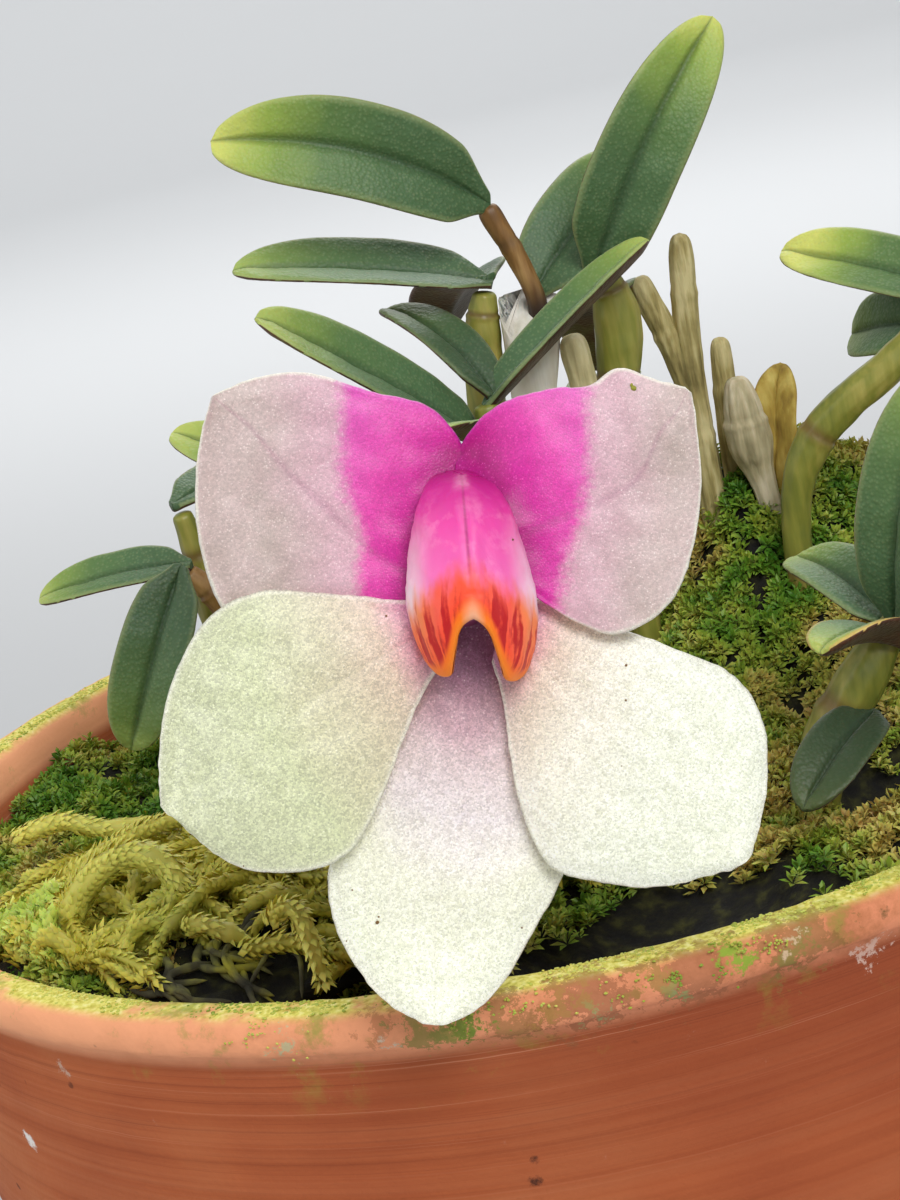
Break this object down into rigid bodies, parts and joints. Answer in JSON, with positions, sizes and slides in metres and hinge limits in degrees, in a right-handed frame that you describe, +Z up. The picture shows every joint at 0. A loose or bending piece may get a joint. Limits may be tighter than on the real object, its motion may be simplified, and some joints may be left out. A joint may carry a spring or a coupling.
{
  "type": "potted orchid",
  "caption": "Miniature dendrobium orchid with a pale and magenta bloom, in a mossy terracotta pot.",
  "frame": {"origin": "centre of the pot's flat base", "axes": "+Z up, and the bloom faces -Y"},
  "size_m": [0.1, 0.1042, 0.1184],
  "materials": {
    "brown_cane": "mature cane, satin brown",
    "column": "waxy, dark magenta",
    "dry_growth": "dry stems and leaf, straw coloured",
    "green_cane": "living pseudobulb, olive green, satin",
    "green_moss": "living moss, fine tufts",
    "leaf": "thick warty leaf, satin, yellower at the tip, purple brown below",
    "lip": "waxy, magenta with an orange streaked edge",
    "olive_moss": "living moss, thick curled strands",
    "ovary": "ribbed and warty, olive and purple brown",
    "papery_sheath": "dry papery sheath, greyish white",
    "petal": "crystalline greenish cream tissue",
    "potting_mix": "bark and fibre mix, damp",
    "sepal": "crystalline pale pink tissue, magenta towards the middle",
    "terracotta": "unglazed fired clay, matte, with algae on the rim"
  },
  "bodies": {
    "root": {"dorsal_sepal": "sepal", "lateral_sepal_left": "sepal", "lateral_sepal_right": "sepal", "petal_left": "petal", "petal_right": "petal", "lip": "lip", "column": "column", "mentum": "lip", "pot": "terracotta", "potting_mix": "potting_mix", "tall_cane": "brown_cane", "tall_leaf": "leaf", "inner_leaf": "leaf", "rear_left_bulb": "green_cane", "shaded_leaf": "leaf", "rear_left_leaf": "leaf", "rear_right_bulb": "green_cane", "upright_leaf": "leaf", "back_leaf": "leaf", "centre_cane": "green_cane", "narrow_leaf": "leaf", "left_leaf": "leaf", "dark_leaf": "leaf", "low_leaf": "leaf", "flowering_cane": "green_cane", "far_left_leaf": "leaf", "hidden_left_leaf": "leaf", "hidden_right_leaf": "leaf", "left_cane": "brown_cane", "left_tip_leaf": "leaf", "hanging_leaf": "leaf", "left_bulb": "green_cane", "left_back_leaf": "leaf", "right_cane": "green_cane", "right_top_leaf": "leaf", "right_low_leaf": "leaf", "outer_leaf": "leaf", "front_right_bulb": "green_cane", "edge_leaf": "leaf", "level_leaf": "leaf", "inner_right_leaf": "leaf", "low_right_leaf": "leaf", "far_right_leaf": "leaf", "back_left_cane": "green_cane", "back_left_leaf_a": "leaf", "back_left_leaf_b": "leaf", "back_right_cane": "green_cane", "back_right_leaf_a": "leaf", "back_right_leaf_b": "leaf", "papery_sheath": "papery_sheath", "dry_forked_stems": "dry_growth", "dry_stub": "dry_growth", "old_bulb": "papery_sheath", "dry_leaf": "dry_growth", "moss_carpet": "green_moss", "creeping_moss": "olive_moss", "ovary_pedicel": "ovary"}
  },
  "joints": []
}
